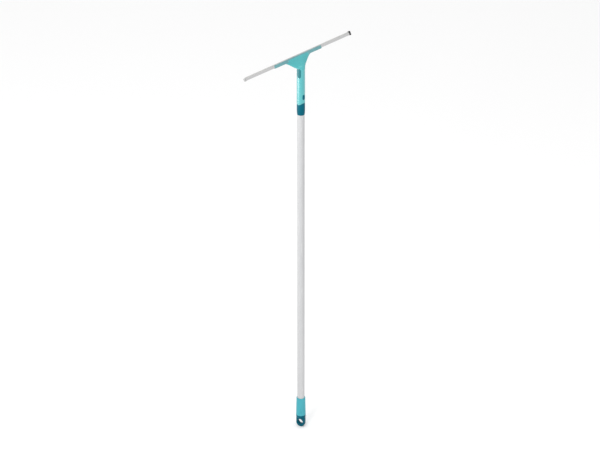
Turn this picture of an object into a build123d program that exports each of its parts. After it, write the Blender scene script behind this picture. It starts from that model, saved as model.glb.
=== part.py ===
from build123d import *
import math
import os

# Window cleaning squeegee on a long pole, in millimetres.
# Origin: centre of the hanging hole. +Z runs up the pole, +X along the rail,
# -Y is the side of the click button, where the user stands. The head leans towards +Y.

os.makedirs("parts", exist_ok=True)

# ---------------------------------------------------------------- dimensions
fit = 0.05                     # clearance of a push fit, per side
running = 0.08                 # clearance of the sliding button, per side
overcut = 1.0                  # how far a cut runs past the face it opens

# hanging cap
cap_r = 14.4
cap_tip_z = -16.5
cap_top_z = 25.5
hole_r = 8.5
loop_angle = 22.0              # direction of the hole's axis, degrees from +X
loop_half = 6.25               # half thickness of the loop round the hole
loop_r = 13.4                  # the loop's rounded end
hole_edge_r = 1.8
loop_edge_r = 2.4
dome_low_z = 10.0              # the round top closes in between these heights
dome_high_z = 21.0
dome_mid_r = 11.5
dome_mid_z = 14.0
dome_low_r = 6.05              # just inside the loop's flats
cap_stem_top_z = 58.0

# pole tube
tube_r = 11.0
tube_wall = 0.9
tube_top_z = 1096.5

# grip sleeve
sleeve_top_z = 84.5
sleeve_low_r = 14.4
sleeve_top_r = 13.4
sleeve_foot = 3.0              # height of the straight part at the bottom
sleeve_rim = 2.0               # height of the straight part at the top
sleeve_rim_r = 1.2
sleeve_groove_z = 44.3
sleeve_groove_angle = 230.0    # direction of the thumb groove, degrees from +X
groove_length = 22.0
groove_width = 6.0
groove_floor_r = 13.0          # distance of the groove's floor from the axis

# adapter on the pole's top
collar_r = 12.3
collar_low_r = 11.45
collar_low_z = 1078.5
collar_mid_z = 1094.0
collar_wave_z = 1117.6         # mean height of the wavy rim
collar_wave = 3.2              # the rim rises this much at +-Y and falls it at +-X
collar_bulge = 0.2             # the taper's middle stands this far out from a straight cone
adapter_stem_low_z = 1056.0
spigot_r = 9.9
spigot_top_z = 1170.0
spigot_lead = 1.2              # chamfer at the spigot's top
core_r = 7.3
spigot_solid_low_z = 1127.0    # between these heights the spigot is solid, round the button
spigot_solid_high_z = 1156.0

# click button, a slot shape that slides along Y
button_z = 1141.4
button_width = 7.2
button_height = 16.0
button_proud = 1.5
button_dome_r = 19.1           # radius of the button's bowed face
button_edge_r = 0.7
flange_extra = 1.0
step_y = -6.5                  # face inside the spigot that the flange rests on
flange_depth = 2.0
spring_cup_r = 2.6
spring_cup_y = -8.6
spring_r = 2.1
spring_wire = 0.5
spring_turns = 7
spring_end_gap = 0.01
plug_y = 6.6                   # inner face of the plug behind the spring
plug_peg_length = 2.5
plug_peg_gap = 0.3             # between the plug's peg and the coil

# head: neck, then a web that leans back
neck_r = 12.65
socket_r = 10.0
socket_top_z = 1176.0
neck_core_r = 9.2
neck_core_top_z = 1218.0
rim_gap = 0.35
bend_z = 1238.0
lean = 28.6                    # degrees from the pole's axis towards +Y
bend_ease = 6.0                # the neck starts to bend this far below bend_z
bend_lead = 6.0                # spacing of the round sections below it
bend_half_x = 13.8             # section half way through the bend
bend_half_t = 11.7
window_gap = 0.4
inlay_angle = 202.0
inlay_z = 1224.5
inlay_length = 32.0
inlay_width = 12.5
inlay_depth = 0.9
inlay_gap = 0.15               # between the inlay's edge and its recess
inlay_sunk = 0.15              # the inlay's face lies this far below the neck's

# rail and what holds it; s is measured up the leaning web from the bend, t across it
rail_half = 200.0
rail_low_s = 30.8
rail_top_s = 38.0
rail_half_t = 3.0
rail_edge_r = 0.7
rail_line_s = 33.6             # height of the fine groove along each face of the rail
rail_line_width = 0.7
rail_line_depth = 0.35
holder_half = 90.0
holder_low_s = 29.2
holder_top_s = 38.9
holder_half_t = 4.3
hook_half_t = 2.4              # half width of the holder's mouth over the rail
web_top_s = 35.6
web_edge = 0.7                 # chamfer along the web's top
holder_edge_r = 1.2
tongue_half = 24.0
tongue_low_half = 17.3
tongue_low_s = 13.0
tongue_root = 0.5              # the tongue starts this far inside the holder
tongue_half_t = 1.6
slot_half = 1.5                # half width of the rail's mouth
pocket_half = 2.2
pocket_low_s = 34.2
pocket_top_s = 36.7
chamber_half = 2.1
chamber_low_s = 31.7
chamber_top_s = 33.5
lip_gap = 0.3
lip_half_t = 1.2
lip_top_s = 41.6
blade_height = 1.2             # bevels of the wiping edge
blade_bevel = 0.5
end_length = 6.0
end_low_s = 30.2
end_edge_r = 1.5
tab_top_s = 42.2
tab_half_t = 3.5
stop_top_s = 38.8
stop_half_t = 3.3
tab_gap = 0.2
peg_gap = 0.2

# screws
screw_r = 1.4
screw_head_r = 2.6
screw_head_depth = 1.5
screw_length = 5.0             # from the collar's or sleeve's surface inwards
screw_drive = 1.1              # half width of the recess in a screw's head
screw_end_gap = 0.3
screw_head_gap = 0.2
sleeve_screw_z = 38.0
collar_screw_z = 1088.0
screw_face_r = 12.2            # distance of both pole screws' heads from the axis
screw_seat_depth = 0.6         # pole screws: seat below the head's reference face
web_screw_x = 13.0
web_screw_s = 21.0
web_screw_seat_t = -3.9
web_screw_tip_t = 3.6
rail_screw_x = 74.0
rail_screw_seat_s = 30.2
rail_screw_length = 2.9

# ---------------------------------------------------------------- planes
hole_direction = Vector(math.cos(math.radians(loop_angle)), math.sin(math.radians(loop_angle)), 0)
loop_plane = Plane(
    origin=(0, 0, 0),
    x_dir=(-hole_direction.Y, hole_direction.X, 0),
    z_dir=hole_direction,
)
web_plane = Plane(
    origin=(0, 0, bend_z),
    x_dir=(1, 0, 0),
    z_dir=(0, -math.cos(math.radians(lean)), math.sin(math.radians(lean))),
)
up_web = web_plane.y_dir
across_web = web_plane.z_dir
up_axis = Axis(web_plane.origin, up_web)


def section_plane(x):
    """Plane square to the rail at x; its local x is t (user side), its local y is s."""
    return Plane(origin=(x, 0, bend_z), x_dir=across_web, z_dir=(-1, 0, 0))


def web_station(s):
    """Plane square to the web's rise at s; its local x is X."""
    return Plane(origin=web_plane.origin + up_web * s, x_dir=(1, 0, 0), z_dir=up_web)


def side_plane(angle, radius, z):
    """Plane that faces outwards at this angle round the pole; its local y is +Z."""
    a = math.radians(angle)
    out = Vector(math.cos(a), math.sin(a), 0)
    return Plane(
        origin=(radius * out.X, radius * out.Y, z),
        x_dir=(-out.Y, out.X, 0),
        z_dir=(out.X, out.Y, 0),
    )


def screw_plane(z):
    """Plane of a pole screw's head, on the +Y side; its normal points outwards."""
    return Plane(origin=(0, screw_face_r, z), x_dir=(1, 0, 0), z_dir=(0, 1, 0))


def wave_area(far_z, shift):
    """Area in the YZ plane between the wavy rim line and the height far_z."""
    low = collar_wave_z - collar_wave + shift
    high = collar_wave_z + collar_wave + shift
    with BuildSketch(Plane.YZ) as area:
        with BuildLine():
            ThreePointArc((-neck_r, high), (0, low), (neck_r, high))
            Polyline((neck_r, high), (neck_r, far_z), (-neck_r, far_z), (-neck_r, high))
        make_face()
    return area.sketch


def button_outline(margin, y=0.0):
    """The button's outline, widened by a margin, in the XZ plane at y."""
    with BuildSketch(Plane.XZ.offset(-y)) as outline:
        with Locations((0, button_z)):
            SlotOverall(button_height + 2 * margin, button_width + 2 * margin, rotation=90)
    return outline.sketch


def rail_section(x, *bars):
    """Area in the section plane at x, made of (low_s, high_s, half_t) rectangles."""
    with BuildSketch(section_plane(x)) as area:
        for low_s, high_s, half_t in bars:
            with Locations((0, (low_s + high_s) / 2)):
                Rectangle(2 * half_t, high_s - low_s)
    return area.sketch


def tongue_outline(margin):
    """Outline of the holder's tongue inside the web."""
    with BuildSketch(web_plane) as area:
        with BuildLine():
            Polyline(
                (-tongue_half, holder_low_s + tongue_root),
                (tongue_half, holder_low_s + tongue_root),
                (tongue_low_half, tongue_low_s),
                (-tongue_low_half, tongue_low_s),
                close=True,
            )
        make_face()
        offset(amount=margin, kind=Kind.INTERSECTION)
    return area.sketch


def pan_screw(seat, length):
    """Screw whose head sits on the seat plane; the shank points against its normal."""
    with BuildPart() as screw:
        with BuildSketch(seat):
            Circle(screw_r)
        extrude(amount=-length)
        with BuildSketch(seat):
            Circle(screw_head_r)
        extrude(amount=screw_head_depth)
        with BuildSketch(seat.offset(screw_head_depth)):
            Rectangle(2 * screw_drive, screw_drive / 2)
            Rectangle(screw_drive / 2, 2 * screw_drive)
        extrude(amount=-screw_head_depth / 2, mode=Mode.SUBTRACT)
    return screw.part


# ---------------------------------------------------------------- hanging cap
with BuildPart() as hang_cap:
    # flat loop with a rounded end
    with BuildSketch(loop_plane):
        with Locations((0, cap_tip_z + loop_r)):
            Circle(loop_r)
        with Locations((0, (cap_tip_z + loop_r + dome_high_z) / 2)):
            Rectangle(2 * loop_r, dome_high_z - cap_tip_z - loop_r)
    extrude(amount=loop_half, both=True)
    flats = hang_cap.faces().filter_by(Axis((0, 0, 0), hole_direction))
    fillet(flats.edges(), radius=loop_edge_r)
    # round top that closes in on the loop's two flats
    with BuildSketch(Plane.XZ):
        with BuildLine():
            Polyline((0, dome_low_z), (0, cap_top_z), (cap_r, cap_top_z), (cap_r, dome_high_z))
            ThreePointArc((cap_r, dome_high_z), (dome_mid_r, dome_mid_z), (dome_low_r, dome_low_z))
            Line((dome_low_r, dome_low_z), (0, dome_low_z))
        make_face()
    revolve(axis=Axis.Z)
    with BuildSketch(loop_plane):
        Circle(hole_r)
    extrude(amount=cap_r + overcut, both=True, mode=Mode.SUBTRACT)
    rims = hang_cap.edges().filter_by(GeomType.CIRCLE).filter_by(lambda e: abs(e.radius - hole_r) < 0.01)
    fillet(rims, radius=hole_edge_r)
    # hollow stem inside the tube
    with BuildSketch(Plane.XY.offset(cap_top_z)):
        Circle(tube_r - tube_wall - fit)
        Circle(core_r, mode=Mode.SUBTRACT)
    extrude(amount=cap_stem_top_z - cap_top_z)
    # hole for the lower screw
    with BuildSketch(screw_plane(sleeve_screw_z)):
        Circle(screw_r + fit)
    extrude(amount=-screw_length, mode=Mode.SUBTRACT)
hang_cap.part.label = "hang_cap"
export_step(hang_cap.part, "parts/hang_cap.step")

# ---------------------------------------------------------------- grip sleeve
with BuildPart() as grip_sleeve:
    with BuildSketch(Plane.XZ):
        with BuildLine():
            Polyline(
                (tube_r + fit, cap_top_z),
                (sleeve_low_r, cap_top_z),
                (sleeve_low_r, cap_top_z + sleeve_foot),
                (sleeve_top_r, sleeve_top_z - sleeve_rim),
                (sleeve_top_r, sleeve_top_z),
                (tube_r + fit, sleeve_top_z),
                close=True,
            )
        make_face()
    revolve(axis=Axis.Z)
    top_rim = grip_sleeve.edges().filter_by(GeomType.CIRCLE).group_by(Axis.Z)[-1].sort_by(SortBy.RADIUS)[-1]
    fillet(top_rim, radius=sleeve_rim_r)
    # thumb groove
    with BuildSketch(side_plane(sleeve_groove_angle, sleeve_low_r, sleeve_groove_z)):
        SlotOverall(groove_length, groove_width, rotation=90)
    extrude(amount=groove_floor_r - sleeve_low_r, mode=Mode.SUBTRACT)
    # seat and hole of the lower screw
    with BuildSketch(screw_plane(sleeve_screw_z)):
        Circle(screw_r + fit)
    extrude(amount=-screw_length, mode=Mode.SUBTRACT)
    with BuildSketch(screw_plane(sleeve_screw_z).offset(-screw_seat_depth)):
        Circle(screw_head_r + fit)
    extrude(amount=sleeve_low_r, mode=Mode.SUBTRACT)
grip_sleeve.part.label = "grip_sleeve"
export_step(grip_sleeve.part, "parts/grip_sleeve.step")

# ---------------------------------------------------------------- pole tube
with BuildPart() as pole_tube:
    with BuildSketch(Plane.XY.offset(cap_top_z)):
        Circle(tube_r)
        Circle(tube_r - tube_wall, mode=Mode.SUBTRACT)
    extrude(amount=tube_top_z - cap_top_z)
    for z in (sleeve_screw_z, collar_screw_z):
        with BuildSketch(screw_plane(z)):
            Circle(screw_r + fit)
        extrude(amount=-screw_length, mode=Mode.SUBTRACT)
pole_tube.part.label = "pole_tube"
export_step(pole_tube.part, "parts/pole_tube.step")

# ---------------------------------------------------------------- adapter
with BuildPart() as pole_adapter:
    # collar, tapered towards the tube
    with BuildSketch(Plane.XZ):
        with BuildLine():
            Line((0, collar_low_z), (collar_low_r, collar_low_z))
            ThreePointArc(
                (collar_low_r, collar_low_z),
                ((collar_low_r + collar_r) / 2 + collar_bulge, (collar_low_z + collar_mid_z) / 2),
                (collar_r, collar_mid_z),
            )
            Polyline(
                (collar_r, collar_mid_z),
                (collar_r, collar_wave_z + collar_wave + overcut),
                (0, collar_wave_z + collar_wave + overcut),
                (0, collar_low_z),
            )
        make_face()
    revolve(axis=Axis.Z)
    # wavy rim
    extrude(wave_area(spigot_top_z, shift=0), amount=neck_r, both=True, mode=Mode.SUBTRACT)
    # spigot above, stem below
    with BuildSketch(Plane.XY.offset(collar_mid_z)):
        Circle(spigot_r)
    extrude(amount=spigot_top_z - collar_mid_z)
    chamfer(pole_adapter.faces().sort_by(Axis.Z)[-1].edges(), length=spigot_lead)
    with BuildSketch(Plane.XY.offset(adapter_stem_low_z)):
        Circle(tube_r + fit)
    extrude(amount=tube_top_z - adapter_stem_low_z, mode=Mode.SUBTRACT)
    with BuildSketch(Plane.XY.offset(adapter_stem_low_z)):
        Circle(tube_r - tube_wall - fit)
    extrude(amount=tube_top_z - adapter_stem_low_z)
    # moulding cores from both ends
    with BuildSketch(Plane.XY.offset(adapter_stem_low_z)):
        Circle(core_r)
    extrude(amount=spigot_solid_low_z - adapter_stem_low_z, mode=Mode.SUBTRACT)
    with BuildSketch(Plane.XY.offset(spigot_solid_high_z)):
        Circle(core_r)
    extrude(amount=spigot_top_z - spigot_solid_high_z, mode=Mode.SUBTRACT)
    # opening for the button, and the wider pocket behind it, open to the back
    extrude(button_outline(running), amount=spigot_r + overcut, mode=Mode.SUBTRACT)
    pocket = button_outline(flange_extra + running, y=step_y)
    extrude(pocket, amount=step_y - spigot_r - overcut, mode=Mode.SUBTRACT)
    # seat and hole of the upper screw
    with BuildSketch(screw_plane(collar_screw_z)):
        Circle(screw_r + fit)
    extrude(amount=-screw_length, mode=Mode.SUBTRACT)
    with BuildSketch(screw_plane(collar_screw_z).offset(-screw_seat_depth)):
        Circle(screw_head_r + fit)
    extrude(amount=collar_r, mode=Mode.SUBTRACT)
pole_adapter.part.label = "pole_adapter"
export_step(pole_adapter.part, "parts/pole_adapter.step")

# ---------------------------------------------------------------- click button
button_face_y = -(neck_r + button_proud)
with BuildPart() as click_button:
    extrude(button_outline(0, y=step_y + fit), amount=step_y + fit - button_face_y)
    # domed face, a little flatter than the neck
    with BuildSketch(Plane.XY.offset(button_z - button_height)):
        with Locations((0, button_face_y + button_dome_r)):
            Circle(button_dome_r)
    extrude(amount=2 * button_height, mode=Mode.INTERSECT)
    front = click_button.faces().sort_by(Axis.Y)[0]
    fillet(front.edges(), radius=button_edge_r)
    # flange that keeps it in, and the cup for the spring
    extrude(button_outline(flange_extra, y=step_y + fit), amount=-flange_depth)
    with BuildSketch(Plane.XZ.offset(-spring_cup_y)):
        with Locations((0, button_z)):
            Circle(spring_cup_r)
    extrude(amount=spring_cup_y, mode=Mode.SUBTRACT)
click_button.part.label = "click_button"
export_step(click_button.part, "parts/click_button.step")

# ---------------------------------------------------------------- button spring
spring_length = plug_y - spring_cup_y - spring_wire
with BuildPart() as button_spring:
    with BuildLine() as coil:
        Helix(
            pitch=spring_length / spring_turns,
            height=spring_length,
            radius=spring_r,
            center=(0, spring_cup_y + spring_wire / 2, button_z),
            direction=(0, 1, 0),
        )
    with BuildSketch(Plane(origin=coil.line @ 0, z_dir=coil.line % 0)):
        Circle(spring_wire / 2 - spring_end_gap)
    sweep(is_frenet=True)
button_spring.part.label = "button_spring"
export_step(button_spring.part, "parts/button_spring.step")

# ---------------------------------------------------------------- plug behind the spring
with BuildPart() as spring_plug:
    back = button_outline(flange_extra, y=plug_y)
    extrude(back, amount=-spigot_r)
    with BuildSketch(Plane.XY.offset(button_z - button_height)):
        Circle(spigot_r - fit)
    extrude(amount=2 * button_height, mode=Mode.INTERSECT)
    # peg that centres the spring
    with BuildSketch(Plane.XZ.offset(-plug_y)):
        with Locations((0, button_z)):
            Circle(spring_r - spring_wire / 2 - plug_peg_gap)
    extrude(amount=plug_peg_length)
spring_plug.part.label = "spring_plug"
export_step(spring_plug.part, "parts/spring_plug.step")


# ---------------------------------------------------------------- head: neck and web
# half width along X and half thickness of the web at each height s
web_sections = [
    (6.0, 20.2, 9.2),
    (10.0, 24.8, 7.8),
    (16.0, 31.3, 6.5),
    (22.0, 38.0, 6.0),
    (26.5, 44.5, 6.2),
    (30.5, 50.5, 6.6),
    (web_top_s, 48.0, 6.3),
]
inlay_plane = side_plane(inlay_angle, 0, inlay_z)
with BuildPart() as inlay_room:
    with BuildSketch(inlay_plane):
        SlotOverall(inlay_length + 2 * inlay_gap, inlay_width + 2 * inlay_gap, rotation=90)
    extrude(amount=2 * neck_r)
    with BuildSketch(Plane.XY.offset(inlay_z - inlay_length)):
        Circle(neck_r - inlay_depth)
    extrude(amount=2 * inlay_length, mode=Mode.SUBTRACT)

half_lean = math.radians(lean / 2)
mid_bend = Plane(
    origin=(0, 0, bend_z),
    x_dir=(1, 0, 0),
    z_dir=(0, math.sin(half_lean), math.cos(half_lean)),
)
with BuildPart() as head_body:
    for step in (2, 1, 0):
        with BuildSketch(Plane.XY.offset(bend_z - bend_ease - step * bend_lead)):
            Circle(neck_r)
    with BuildSketch(mid_bend):
        Ellipse(bend_half_x, bend_half_t)
    for s, half_x, half_t in web_sections:
        with BuildSketch(web_station(s)):
            Ellipse(half_x, half_t)
    loft()
    with BuildSketch(Plane.XY.offset(collar_wave_z - collar_wave - overcut)):
        Circle(neck_r)
    extrude(amount=bend_z - bend_ease - 2 * bend_lead - collar_wave_z + collar_wave + overcut)
    chamfer(head_body.edges().group_by(up_axis)[-1], length=web_edge)
    # wavy rim that follows the collar
    extrude(wave_area(collar_low_z, shift=rim_gap), amount=neck_r, both=True, mode=Mode.SUBTRACT)
    # socket for the spigot, then a narrower moulding core
    with BuildSketch(Plane.XY.offset(collar_low_z)):
        Circle(socket_r)
    extrude(amount=socket_top_z - collar_low_z, mode=Mode.SUBTRACT)
    with BuildSketch(Plane.XY.offset(socket_top_z)):
        Circle(neck_core_r)
    extrude(amount=neck_core_top_z - socket_top_z, mode=Mode.SUBTRACT)
    # window for the button
    extrude(button_outline(window_gap), amount=neck_r + overcut, mode=Mode.SUBTRACT)
    # recess for the blank inlay
    add(inlay_room.part, mode=Mode.SUBTRACT)
    # room for the rail holder and its tongue
    holder_room = rail_section(0, (holder_low_s, holder_top_s, holder_half_t))
    extrude(holder_room, amount=holder_half, both=True, mode=Mode.SUBTRACT)
    extrude(tongue_outline(fit), amount=tongue_half_t + fit, both=True, mode=Mode.SUBTRACT)
    # screw holes from the back
    with BuildSketch(web_plane.offset(web_screw_tip_t + screw_end_gap)):
        with Locations((-web_screw_x, web_screw_s), (web_screw_x, web_screw_s)):
            Circle(screw_r + fit)
    extrude(amount=-2 * neck_r, mode=Mode.SUBTRACT)
    with BuildSketch(web_plane.offset(web_screw_seat_t)):
        with Locations((-web_screw_x, web_screw_s), (web_screw_x, web_screw_s)):
            Circle(screw_head_r + screw_head_gap)
    extrude(amount=-2 * neck_r, mode=Mode.SUBTRACT)
head_body.part.label = "head_body"
export_step(head_body.part, "parts/head_body.step")

# ---------------------------------------------------------------- blank inlay on the neck
with BuildPart() as neck_inlay:
    with BuildSketch(inlay_plane):
        SlotOverall(inlay_length, inlay_width, rotation=90)
    extrude(amount=2 * neck_r)
    with BuildSketch(Plane.XY.offset(inlay_z - inlay_length)):
        Circle(neck_r - inlay_sunk)
    extrude(amount=2 * inlay_length, mode=Mode.INTERSECT)
    with BuildSketch(Plane.XY.offset(inlay_z - inlay_length)):
        Circle(neck_r - inlay_depth)
    extrude(amount=2 * inlay_length, mode=Mode.SUBTRACT)
neck_inlay.part.label = "neck_inlay"
export_step(neck_inlay.part, "parts/neck_inlay.step")

# ---------------------------------------------------------------- rail holder
with BuildPart() as rail_holder:
    body = rail_section(0, (holder_low_s, holder_top_s, holder_half_t))
    extrude(body, amount=holder_half, both=True)
    fillet(rail_holder.edges(), radius=holder_edge_r)
    # pocket for the rail, with hooks over its top edges
    pocket = rail_section(
        0,
        (rail_low_s, rail_top_s + fit, rail_half_t + fit),
        (rail_low_s, holder_top_s + overcut, hook_half_t),
    )
    extrude(pocket, amount=holder_half + overcut, both=True, mode=Mode.SUBTRACT)
    # tongue in the web
    extrude(tongue_outline(0), amount=tongue_half_t, both=True)
    with BuildSketch(web_plane):
        with Locations((-web_screw_x, web_screw_s), (web_screw_x, web_screw_s)):
            Circle(screw_r + fit)
    extrude(amount=holder_half_t, both=True, mode=Mode.SUBTRACT)
    # counterbored holes for the rail screws
    with BuildSketch(web_station(holder_low_s)):
        with Locations((-rail_screw_x, 0), (rail_screw_x, 0)):
            Circle(screw_head_r + screw_head_gap)
    extrude(amount=rail_screw_seat_s - holder_low_s, mode=Mode.SUBTRACT)
    with BuildSketch(web_station(holder_low_s)):
        with Locations((-rail_screw_x, 0), (rail_screw_x, 0)):
            Circle(screw_r + fit)
    extrude(amount=rail_low_s - holder_low_s, mode=Mode.SUBTRACT)
rail_holder.part.label = "rail_holder"
export_step(rail_holder.part, "parts/rail_holder.step")

# ---------------------------------------------------------------- rail
with BuildPart() as rail:
    extrude(rail_section(0, (rail_low_s, rail_top_s, rail_half_t)), amount=rail_half, both=True)
    fillet(rail.edges().filter_by(Axis.X), radius=rail_edge_r)
    channels = rail_section(
        0,
        (pocket_low_s, pocket_top_s, pocket_half),
        (pocket_low_s, rail_top_s + overcut, slot_half),
        (chamber_low_s, chamber_top_s, chamber_half),
    )
    extrude(channels, amount=rail_half, both=True, mode=Mode.SUBTRACT)
    # fine groove along both faces
    with BuildSketch(section_plane(0)):
        with Locations((-rail_half_t, rail_line_s), (rail_half_t, rail_line_s)):
            Rectangle(2 * rail_line_depth, rail_line_width)
    extrude(amount=rail_half, both=True, mode=Mode.SUBTRACT)
    with BuildSketch(web_station(rail_low_s)):
        with Locations((-rail_screw_x, 0), (rail_screw_x, 0)):
            Circle(screw_r + fit)
    extrude(amount=chamber_low_s - rail_low_s, mode=Mode.SUBTRACT)
rail.part.label = "rail"
export_step(rail.part, "parts/rail.step")

# ---------------------------------------------------------------- rubber lip
with BuildPart() as rubber_lip:
    lip = rail_section(
        lip_gap - rail_half,
        (pocket_low_s + lip_gap, pocket_top_s - lip_gap, pocket_half - lip_gap),
        (pocket_low_s + lip_gap, lip_top_s, lip_half_t),
    )
    extrude(lip, amount=lip_gap - 2 * rail_half - tab_gap)
    blade_edges = rubber_lip.edges().filter_by(Axis.X).group_by(up_axis)[-1]
    chamfer(blade_edges, length=blade_height, length2=blade_bevel)
rubber_lip.part.label = "rubber_lip"
export_step(rubber_lip.part, "parts/rubber_lip.step")


# ---------------------------------------------------------------- end pieces of the rail
def end_piece(side, top_s, half_t, gap):
    """Cap on one end of the rail, with a peg in the rail's lower chamber."""
    inner_x = side * (rail_half + gap)
    with BuildPart() as piece:
        extrude(rail_section(inner_x, (end_low_s, top_s, half_t)), amount=-side * end_length)
        outer_face = piece.faces().sort_by(Axis.X)[-1 if side > 0 else 0]
        fillet(outer_face.edges(), radius=end_edge_r)
        peg = rail_section(
            inner_x,
            (chamber_low_s + peg_gap, chamber_top_s - peg_gap, chamber_half - peg_gap),
        )
        extrude(peg, amount=side * 2 * end_length)
    return piece.part


lip_pull_tab = end_piece(1, tab_top_s, tab_half_t, tab_gap)
lip_pull_tab.label = "lip_pull_tab"
export_step(lip_pull_tab, "parts/lip_pull_tab.step")

rail_end_stop = end_piece(-1, stop_top_s, stop_half_t, 0)
rail_end_stop.label = "rail_end_stop"
export_step(rail_end_stop, "parts/rail_end_stop.step")

# ---------------------------------------------------------------- screws
web_back = Plane(
    origin=web_plane.origin + across_web * web_screw_seat_t + up_web * web_screw_s,
    x_dir=(1, 0, 0),
    z_dir=-across_web,
)
rail_below = Plane(
    origin=web_plane.origin + up_web * rail_screw_seat_s,
    x_dir=(1, 0, 0),
    z_dir=-up_web,
)
with BuildPart() as web_screws:
    for x in (-web_screw_x, web_screw_x):
        add(pan_screw(web_back.shift_origin(web_back.origin + Vector(x, 0, 0)), web_screw_tip_t - web_screw_seat_t))
web_screws.part.label = "web_screws"
export_step(web_screws.part, "parts/web_screws.step")

with BuildPart() as rail_screws:
    for x in (-rail_screw_x, rail_screw_x):
        add(pan_screw(rail_below.shift_origin(rail_below.origin + Vector(x, 0, 0)), rail_screw_length))
rail_screws.part.label = "rail_screws"
export_step(rail_screws.part, "parts/rail_screws.step")

with BuildPart() as pole_screws:
    for z in (sleeve_screw_z, collar_screw_z):
        add(pan_screw(screw_plane(z).offset(-screw_seat_depth), screw_length))
pole_screws.part.label = "pole_screws"
export_step(pole_screws.part, "parts/pole_screws.step")
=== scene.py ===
import bmesh
import bpy
import math

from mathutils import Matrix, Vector


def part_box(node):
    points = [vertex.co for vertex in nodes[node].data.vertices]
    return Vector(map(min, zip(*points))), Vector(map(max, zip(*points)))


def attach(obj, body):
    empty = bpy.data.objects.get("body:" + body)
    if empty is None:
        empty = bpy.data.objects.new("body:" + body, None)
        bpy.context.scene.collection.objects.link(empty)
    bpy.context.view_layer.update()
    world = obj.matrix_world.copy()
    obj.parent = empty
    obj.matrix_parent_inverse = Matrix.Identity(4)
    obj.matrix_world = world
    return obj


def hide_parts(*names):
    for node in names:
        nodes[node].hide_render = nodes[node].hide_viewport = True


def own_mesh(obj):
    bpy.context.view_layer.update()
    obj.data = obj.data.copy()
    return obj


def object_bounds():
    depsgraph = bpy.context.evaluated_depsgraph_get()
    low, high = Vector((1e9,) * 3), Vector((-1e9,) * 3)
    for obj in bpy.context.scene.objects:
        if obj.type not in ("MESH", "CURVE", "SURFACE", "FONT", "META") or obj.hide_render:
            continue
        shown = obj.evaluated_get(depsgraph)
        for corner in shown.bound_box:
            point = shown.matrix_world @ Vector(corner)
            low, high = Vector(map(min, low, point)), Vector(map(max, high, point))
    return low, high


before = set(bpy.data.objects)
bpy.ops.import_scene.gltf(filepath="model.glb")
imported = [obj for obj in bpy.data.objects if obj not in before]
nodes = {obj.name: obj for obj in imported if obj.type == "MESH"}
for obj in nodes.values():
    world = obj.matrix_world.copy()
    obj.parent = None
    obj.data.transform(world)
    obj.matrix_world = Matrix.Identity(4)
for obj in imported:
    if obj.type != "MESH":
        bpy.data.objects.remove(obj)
cad_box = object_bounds()

# ------------------------------------------------------------------ colours
# Linear RGB, three to a finish: the body, a deeper tone of it (for random drift and flow marks, and in
# moulded plastic also the painted shade in the grain's pits), and where it is rubbed.
TURQUOISE = (0.052, 0.400, 0.418), (0.038, 0.360, 0.382), (0.300, 0.660, 0.690)
SLEEVE = (0.065, 0.385, 0.450), (0.050, 0.335, 0.400), (0.270, 0.600, 0.660)
DARK_TEAL = (0.001, 0.118, 0.170), (0.001, 0.085, 0.130), (0.035, 0.230, 0.290)
HOLDER = (0.150, 0.350, 0.370), (0.115, 0.290, 0.315), (0.330, 0.540, 0.560)
INLAY = (0.015, 0.190, 0.215), (0.010, 0.150, 0.175), (0.090, 0.320, 0.350)
SILVER = (0.530, 0.534, 0.540), (0.440, 0.445, 0.455), (0.720, 0.720, 0.720)
ALUMINIUM = (0.780, 0.780, 0.780), (0.620, 0.620, 0.625), (0.840, 0.840, 0.840)
RUBBER = (0.560, 0.560, 0.550), (0.460, 0.460, 0.455), (0.680, 0.680, 0.670)
BLACK = (0.010, 0.010, 0.011), (0.006, 0.006, 0.007), (0.060, 0.060, 0.062)
GREY = (0.420, 0.420, 0.420), (0.360, 0.360, 0.360), (0.560, 0.560, 0.560)
STEEL = (0.560, 0.560, 0.550), (0.420, 0.420, 0.410), (0.720, 0.720, 0.710)

# Depths of the surface detail and radii of worn edges, in metres. Noise is stretched in
# features per metre along X, Y and Z.
FINE_GRAIN = 2600.0
COARSE_GRAIN = 1900.0
GRAIN_DEPTH = 0.00005
HOLDER_GRAIN_DEPTH = 0.00008
FLOW_DEPTH = 0.00012
PLASTIC_EDGE = 0.0007
HARD_EDGE = 0.0004
DRAW_DEPTH = 0.00003
PEEL_DEPTH = 0.00008
FLAKE_DEPTH = 0.00001
BRUSH_DEPTH = 0.00002
PORE_DEPTH = 0.00001


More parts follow.
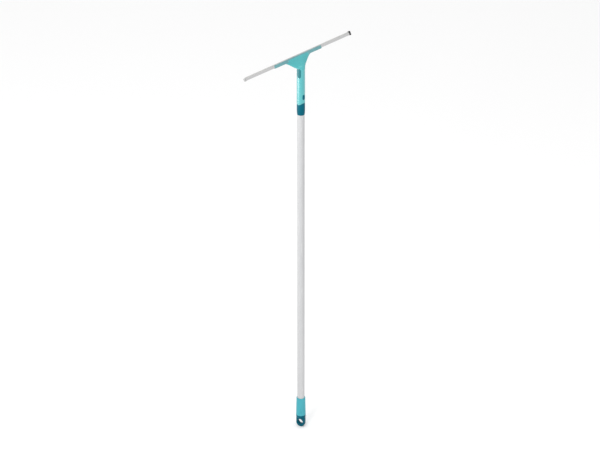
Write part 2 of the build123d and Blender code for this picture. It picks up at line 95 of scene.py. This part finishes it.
# ------------------------------------------------------------------ materials
class Finish:
    """A material under construction: its nodes, and short ways to link them."""

    def __init__(self, name):
        self.material = bpy.data.materials.new(name)
        self.material.use_nodes = True
        self.tree = self.material.node_tree
        self.shader = self.tree.nodes["Principled BSDF"]
        self.place = self.add("ShaderNodeTexCoord").outputs["Object"]

    def add(self, kind, **values):
        node = self.tree.nodes.new(kind)
        for key, value in values.items():
            setattr(node, key, value)
        return node

    def link(self, source, target):
        self.tree.links.new(source, target)

    def noise(self, stretch, detail=3.0, roughness=0.5, distortion=0.0):
        """Noise from 0 to 1 with stretch features per metre along each axis."""
        mapping = self.add("ShaderNodeMapping")
        mapping.inputs["Scale"].default_value = stretch
        self.link(self.place, mapping.inputs["Vector"])
        texture = self.add("ShaderNodeTexNoise")
        texture.inputs["Scale"].default_value = 1.0
        texture.inputs["Detail"].default_value = detail
        texture.inputs["Roughness"].default_value = roughness
        texture.inputs["Distortion"].default_value = distortion
        self.link(mapping.outputs["Vector"], texture.inputs["Vector"])
        return texture.outputs["Fac"]

    def span(self, source, low, high, to_low=0.0, to_high=1.0):
        """Takes low..high of the source to to_low..to_high, clamped."""
        node = self.add("ShaderNodeMapRange")
        node.inputs["From Min"].default_value = low
        node.inputs["From Max"].default_value = high
        node.inputs["To Min"].default_value = to_low
        node.inputs["To Max"].default_value = to_high
        self.link(source, node.inputs["Value"])
        return node.outputs["Result"]

    def math(self, operation, first, second):
        node = self.add("ShaderNodeMath", operation=operation)
        for socket, value in zip(node.inputs, (first, second)):
            if isinstance(value, (int, float)):
                socket.default_value = value
            else:
                self.link(value, socket)
        return node.outputs["Value"]

    def edges(self, radius):
        """0 on flat faces, up to 1 where the surface turns within radius metres."""
        bevel = self.add("ShaderNodeBevel", samples=6)
        bevel.inputs["Radius"].default_value = radius
        geometry = self.add("ShaderNodeNewGeometry")
        product = self.add("ShaderNodeVectorMath", operation="DOT_PRODUCT")
        self.link(bevel.outputs["Normal"], product.inputs[0])
        self.link(geometry.outputs["Normal"], product.inputs[1])
        return self.span(product.outputs["Value"], 0.995, 0.80)

    def mix(self, amount, first, second):
        node = self.add("ShaderNodeMix", data_type="RGBA")
        self.link(amount, node.inputs["Factor"])
        for socket, value in ((node.inputs[6], first), (node.inputs[7], second)):
            if isinstance(value, tuple):
                socket.default_value = (*value, 1)
            else:
                self.link(value, socket)
        return node.outputs[2]

    def bump(self, layers):
        """layers: (height source, distance in metres, strength), laid one over another."""
        normal = None
        for height, distance, strength in layers:
            node = self.add("ShaderNodeBump")
            node.inputs["Distance"].default_value = distance
            node.inputs["Strength"].default_value = strength
            self.link(height, node.inputs["Height"])
            if normal:
                self.link(normal, node.inputs["Normal"])
            normal = node.outputs["Normal"]
        self.link(normal, self.shader.inputs["Normal"])


def moulded(name, colors, roughness, grain=FINE_GRAIN, depth=GRAIN_DEPTH, coat=0.0, gleam=0.5):
    """Injection moulded plastic: spark-eroded grain with painted shade darkening its pits, colour
    drift, flow marks, scuffs, rubbed edges.
    """
    base, deep, worn = colors
    finish = Finish(name)
    drift = finish.noise((24, 24, 9), detail=2.0)
    flow = finish.noise((130, 130, 26), detail=5.0, roughness=0.6, distortion=0.8)
    specks = finish.noise((grain, grain, grain), detail=2.0)
    rubs = finish.noise((420, 420, 60), detail=5.0, roughness=0.62)
    body = finish.mix(finish.span(drift, 0.35, 0.65), base, deep)
    shade = finish.math("MULTIPLY", finish.span(flow, 0.45, 0.75), 0.5)
    body = finish.mix(shade, body, deep)
    # Painted shade: the grain's pits, where its bump is low, are darkened toward the deep colour.
    painted_pit_shade = finish.math("MULTIPLY", finish.span(specks, 0.52, 0.34), 0.45)
    body = finish.mix(painted_pit_shade, body, deep)
    edge = finish.math("MULTIPLY", finish.edges(PLASTIC_EDGE), finish.span(rubs, 0.35, 0.60))
    body = finish.mix(finish.math("MULTIPLY", edge, 0.55), body, worn)
    scuffs = finish.math("MULTIPLY", finish.span(rubs, 0.62, 0.74), 0.12)
    body = finish.mix(scuffs, body, worn)
    finish.link(body, finish.shader.inputs["Base Color"])
    gloss = finish.span(rubs, 0.30, 0.70, roughness - 0.06, roughness + 0.08)
    gloss = finish.math("SUBTRACT", gloss, finish.math("MULTIPLY", edge, 0.10))
    finish.link(gloss, finish.shader.inputs["Roughness"])
    finish.shader.inputs["Coat Weight"].default_value = coat
    finish.shader.inputs["Coat Roughness"].default_value = 0.14
    finish.shader.inputs["Specular IOR Level"].default_value = gleam
    finish.bump(((specks, depth, 1.0), (flow, FLOW_DEPTH, 0.35)))
    return finish.material


def coated_steel(name, colors):
    """Silver stoving enamel on a drawn tube: draw lines and rubs along it, orange peel, flakes."""
    base, deep, worn = colors
    finish = Finish(name)
    lines = finish.noise((1100, 1100, 2.5), detail=4.0, roughness=0.6)
    drift = finish.noise((40, 40, 6), detail=4.0, roughness=0.6)
    rubs = finish.noise((260, 260, 34), detail=6.0, roughness=0.66, distortion=0.6)
    flakes = finish.noise((5200, 5200, 5200), detail=1.0)
    peel = finish.noise((520, 520, 420), detail=2.0)
    body = finish.mix(finish.span(drift, 0.35, 0.70, 0.0, 0.6), base, deep)
    body = finish.mix(finish.span(lines, 0.44, 0.70, 0.0, 0.75), body, deep)
    body = finish.mix(finish.span(rubs, 0.58, 0.72, 0.0, 0.45), body, worn)
    body = finish.mix(finish.span(flakes, 0.56, 0.70, 0.0, 0.6), body, worn)
    finish.link(body, finish.shader.inputs["Base Color"])
    finish.link(finish.span(peel, 0.30, 0.70, 0.36, 0.48), finish.shader.inputs["Roughness"])
    finish.shader.inputs["Specular IOR Level"].default_value = 0.15
    finish.bump(((lines, DRAW_DEPTH, 0.50), (peel, PEEL_DEPTH, 0.50), (flakes, FLAKE_DEPTH, 0.6)))
    return finish.material


def brushed(name, colors, stretch, roughness):
    """Bare metal with fine lines; stretch is their count per metre along each axis."""
    base, deep, worn = colors
    finish = Finish(name)
    lines = finish.noise(stretch, detail=4.0, roughness=0.6)
    drift = finish.noise((18, 60, 60), detail=3.0)
    spots = finish.noise((700, 700, 700), detail=4.0, roughness=0.65)
    body = finish.mix(finish.span(lines, 0.35, 0.70), base, deep)
    body = finish.mix(finish.span(drift, 0.45, 0.75, 0.0, 0.4), body, deep)
    edge = finish.math("MULTIPLY", finish.edges(HARD_EDGE), finish.span(spots, 0.35, 0.60))
    body = finish.mix(finish.math("MULTIPLY", edge, 0.7), body, worn)
    finish.link(body, finish.shader.inputs["Base Color"])
    gloss = finish.span(lines, 0.30, 0.75, roughness - 0.06, roughness + 0.10)
    gloss = finish.math("ADD", gloss, finish.span(spots, 0.58, 0.75, 0.0, 0.12))
    finish.link(gloss, finish.shader.inputs["Roughness"])
    finish.shader.inputs["Metallic"].default_value = 1.0
    finish.bump(((lines, BRUSH_DEPTH, 0.35), (spots, BRUSH_DEPTH, 0.20)))
    return finish.material


def rubber(name, colors):
    """Soft wiper rubber: a matt bloom, dust towards the edges and fine lines along the strip."""
    base, deep, worn = colors
    finish = Finish(name)
    lines = finish.noise((9, 3200, 3200), detail=3.0)
    bloom = finish.noise((55, 160, 160), detail=5.0, roughness=0.6)
    pores = finish.noise((3400, 3400, 3400), detail=2.0)
    body = finish.mix(finish.span(bloom, 0.35, 0.70), base, deep)
    body = finish.mix(finish.span(lines, 0.55, 0.80, 0.0, 0.4), body, deep)
    edge = finish.math("MULTIPLY", finish.edges(HARD_EDGE), finish.span(bloom, 0.35, 0.65))
    body = finish.mix(finish.math("MULTIPLY", edge, 0.6), body, worn)
    finish.link(body, finish.shader.inputs["Base Color"])
    finish.link(finish.span(bloom, 0.30, 0.70, 0.52, 0.72), finish.shader.inputs["Roughness"])
    finish.bump(((pores, PORE_DEPTH, 0.5), (lines, BRUSH_DEPTH, 0.25)))
    return finish.material


turquoise = moulded("turquoise_plastic", TURQUOISE, 0.30, coat=1.0)
sleeve = moulded("sleeve_plastic", SLEEVE, 0.36, gleam=0.20)
dark_teal = moulded("dark_teal_plastic", DARK_TEAL, 0.30, gleam=0.06)
holder = moulded("holder_plastic", HOLDER, 0.45, COARSE_GRAIN, HOLDER_GRAIN_DEPTH)
inlay = moulded("inlay_plastic", INLAY, 0.26, gleam=0.25)
black = moulded("black_plastic", BLACK, 0.42, COARSE_GRAIN)
grey = moulded("grey_plastic", GREY, 0.44, COARSE_GRAIN)
silver = coated_steel("coated_tube", SILVER)
aluminium = brushed("rail_aluminium", ALUMINIUM, (4, 3800, 3800), 0.30)
screw = brushed("screw_steel", STEEL, (2600, 2600, 2600), 0.32)
spring = brushed("spring_steel", STEEL, (1800, 1800, 1800), 0.28)
wiper = rubber("lip_rubber", RUBBER)

FINISHES = {
    "hang_cap": dark_teal,
    "grip_sleeve": sleeve,
    "pole_tube": silver,
    "pole_adapter": dark_teal,
    "click_button": dark_teal,
    "button_spring": spring,
    "spring_plug": dark_teal,
    "head_body": turquoise,
    "neck_inlay": inlay,
    "rail_holder": holder,
    "rail": aluminium,
    "rubber_lip": wiper,
    "lip_pull_tab": black,
    "rail_end_stop": grey,
    "web_screws": screw,
    "rail_screws": screw,
    "pole_screws": screw,
}

for name, material in FINISHES.items():
    slots = nodes[name].data.materials
    slots.clear()
    slots.append(material)

# ------------------------------------------------------------------ button spring
SPRING_WIRE_R = 0.00025
SPRING_TURNS = 9.0            # of which the first and the last lie closed
SPRING_STEPS = 28             # rings of the mesh per turn
SPRING_SIDES = 10
CLOSED_PITCH = 1.04           # pitch of the closed turns, in wire thicknesses
TANGENT_STEP = 0.01           # turns either side of a ring, for the wire's direction


def add_spring():
    """A wound spring with closed ends, in the CAD spring's place."""
    low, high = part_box("button_spring")
    centre_x = (low[0] + high[0]) / 2
    centre_z = (low[2] + high[2]) / 2
    coil_r = (high[0] - low[0]) / 2 - SPRING_WIRE_R
    start_y = low[1] + SPRING_WIRE_R
    length = high[1] - low[1] - 2 * SPRING_WIRE_R
    closed = 2 * SPRING_WIRE_R * CLOSED_PITCH
    open_pitch = (length - 2 * closed) / (SPRING_TURNS - 2)

    def point(turn):
        if turn < 1:
            along = closed * turn
        elif turn > SPRING_TURNS - 1:
            along = length - closed * (SPRING_TURNS - turn)
        else:
            along = closed + open_pitch * (turn - 1)
        angle = 2 * math.pi * turn
        return Vector((
            centre_x + coil_r * math.cos(angle),
            start_y + along,
            centre_z + coil_r * math.sin(angle),
        ))

    shape = bmesh.new()
    rings = []
    count = int(SPRING_TURNS * SPRING_STEPS)
    for index in range(count + 1):
        turn = SPRING_TURNS * index / count
        middle = point(turn)
        outward = Vector((middle.x - centre_x, 0, middle.z - centre_z)).normalized()
        after = point(min(turn + TANGENT_STEP, SPRING_TURNS))
        before = point(max(turn - TANGENT_STEP, 0))
        forward = (after - before).normalized()
        across = forward.cross(outward).normalized()
        ring = []
        for side in range(SPRING_SIDES):
            angle = 2 * math.pi * side / SPRING_SIDES
            offset = outward * math.cos(angle) + across * math.sin(angle)
            ring.append(shape.verts.new(middle + offset * SPRING_WIRE_R))
        rings.append(ring)
    for first, second in zip(rings, rings[1:]):
        for side in range(SPRING_SIDES):
            following = (side + 1) % SPRING_SIDES
            shape.faces.new((first[side], first[following], second[following], second[side]))
    shape.faces.new(list(reversed(rings[0])))
    shape.faces.new(rings[-1])
    bmesh.ops.recalc_face_normals(shape, faces=shape.faces)
    mesh = bpy.data.meshes.new("wound_spring")
    shape.to_mesh(mesh)
    shape.free()
    for face in mesh.polygons:
        face.use_smooth = True
    mesh.materials.append(spring)
    piece = bpy.data.objects.new("wound_spring", mesh)
    bpy.context.scene.collection.objects.link(piece)
    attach(piece, "pole_and_head")
    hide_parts("button_spring")
    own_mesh(piece)


add_spring()

# ------------------------------------------------------------------ camera
VIEW_AZIMUTH = -40.4
VIEW_ELEVATION = 32.0
LENS_MM = 1000.0
SENSOR_MM = 36.0
FRAME_WIDTH = 1.782          # metres across the picture at the pole's axis
AIM_Z = 0.6906
AIM_RIGHT = -0.0027


def add_camera():
    azimuth = math.radians(VIEW_AZIMUTH)
    elevation = math.radians(VIEW_ELEVATION)
    right = Vector((math.cos(azimuth), math.sin(azimuth), 0))
    back = Vector((
        math.sin(azimuth) * math.cos(elevation),
        -math.cos(azimuth) * math.cos(elevation),
        math.sin(elevation),
    ))
    data = bpy.data.cameras.new("camera")
    data.lens = LENS_MM
    data.sensor_width = SENSOR_MM
    data.clip_start = 1.0
    data.clip_end = 200.0
    camera = bpy.data.objects.new("camera", data)
    bpy.context.scene.collection.objects.link(camera)
    aim = Vector((0, 0, AIM_Z)) + right * AIM_RIGHT
    camera.location = aim + back * (FRAME_WIDTH * LENS_MM / SENSOR_MM)
    camera.rotation_mode = "QUATERNION"
    camera.rotation_quaternion = (-back).to_track_quat("-Z", "Y")
    bpy.context.scene.camera = camera


# ------------------------------------------------------------------ floor and light
FLOOR_SIZE = 30.0
FLOOR_Z = cad_box[0][2]
FLOOR_COLOR = (0.95, 0.95, 0.95, 1)
FLOOR_ROUGHNESS = 0.95
WORLD_STRENGTH = 0.80
PANEL_LIFT = 0.01             # height of the low panel over the floor


def add_floor():
    bpy.ops.mesh.primitive_plane_add(size=FLOOR_SIZE, location=(0, 0, FLOOR_Z))
    floor = bpy.context.object
    floor.name = "floor"
    material = bpy.data.materials.new("floor_paint")
    material.use_nodes = True
    shader = material.node_tree.nodes["Principled BSDF"]
    shader.inputs["Base Color"].default_value = FLOOR_COLOR
    shader.inputs["Roughness"].default_value = FLOOR_ROUGHNESS
    floor.data.materials.append(material)


def add_light(name, location, size, power):
    """A rectangular panel, not seen itself, that shines down until it is turned."""
    data = bpy.data.lights.new(name, "AREA")
    data.shape = "RECTANGLE"
    data.size, data.size_y = size
    data.energy = power
    light = bpy.data.objects.new(name, data)
    light.location = location
    light.visible_camera = False
    bpy.context.scene.collection.objects.link(light)
    return light


def add_area(name, location, target, size, power):
    light = add_light(name, location, size, power)
    direction = Vector(target) - Vector(location)
    light.rotation_mode = "QUATERNION"
    light.rotation_quaternion = direction.to_track_quat("-Z", "Y")


def add_low_panel(name, azimuth, distance, size, power):
    """Panel just over the floor that shines upwards; the pole's side mirrors it as a soft band."""
    angle = math.radians(azimuth)
    location = (distance * math.cos(angle), distance * math.sin(angle), FLOOR_Z + PANEL_LIFT)
    light = add_light(name, location, size, power)
    light.rotation_euler = (math.pi, 0, angle)


def add_world():
    world = bpy.data.worlds.new("studio")
    world.use_nodes = True
    background = world.node_tree.nodes["Background"]
    background.inputs["Color"].default_value = (1, 1, 1, 1)
    background.inputs["Strength"].default_value = WORLD_STRENGTH
    bpy.context.scene.world = world


add_camera()
add_floor()
add_world()
add_area("key", location=(-3.4, -1.6, 2.6), target=(0, 0, 0.8), size=(1.2, 2.4), power=60)
add_area("overhead", location=(-1.0, -0.6, 5.0), target=(0, 0, 0), size=(6.0, 6.0), power=95)
add_low_panel("low panel", azimuth=156.0, distance=2.2, size=(0.62, 2.7), power=36)

bpy.context.scene.view_settings.view_transform = "Standard"
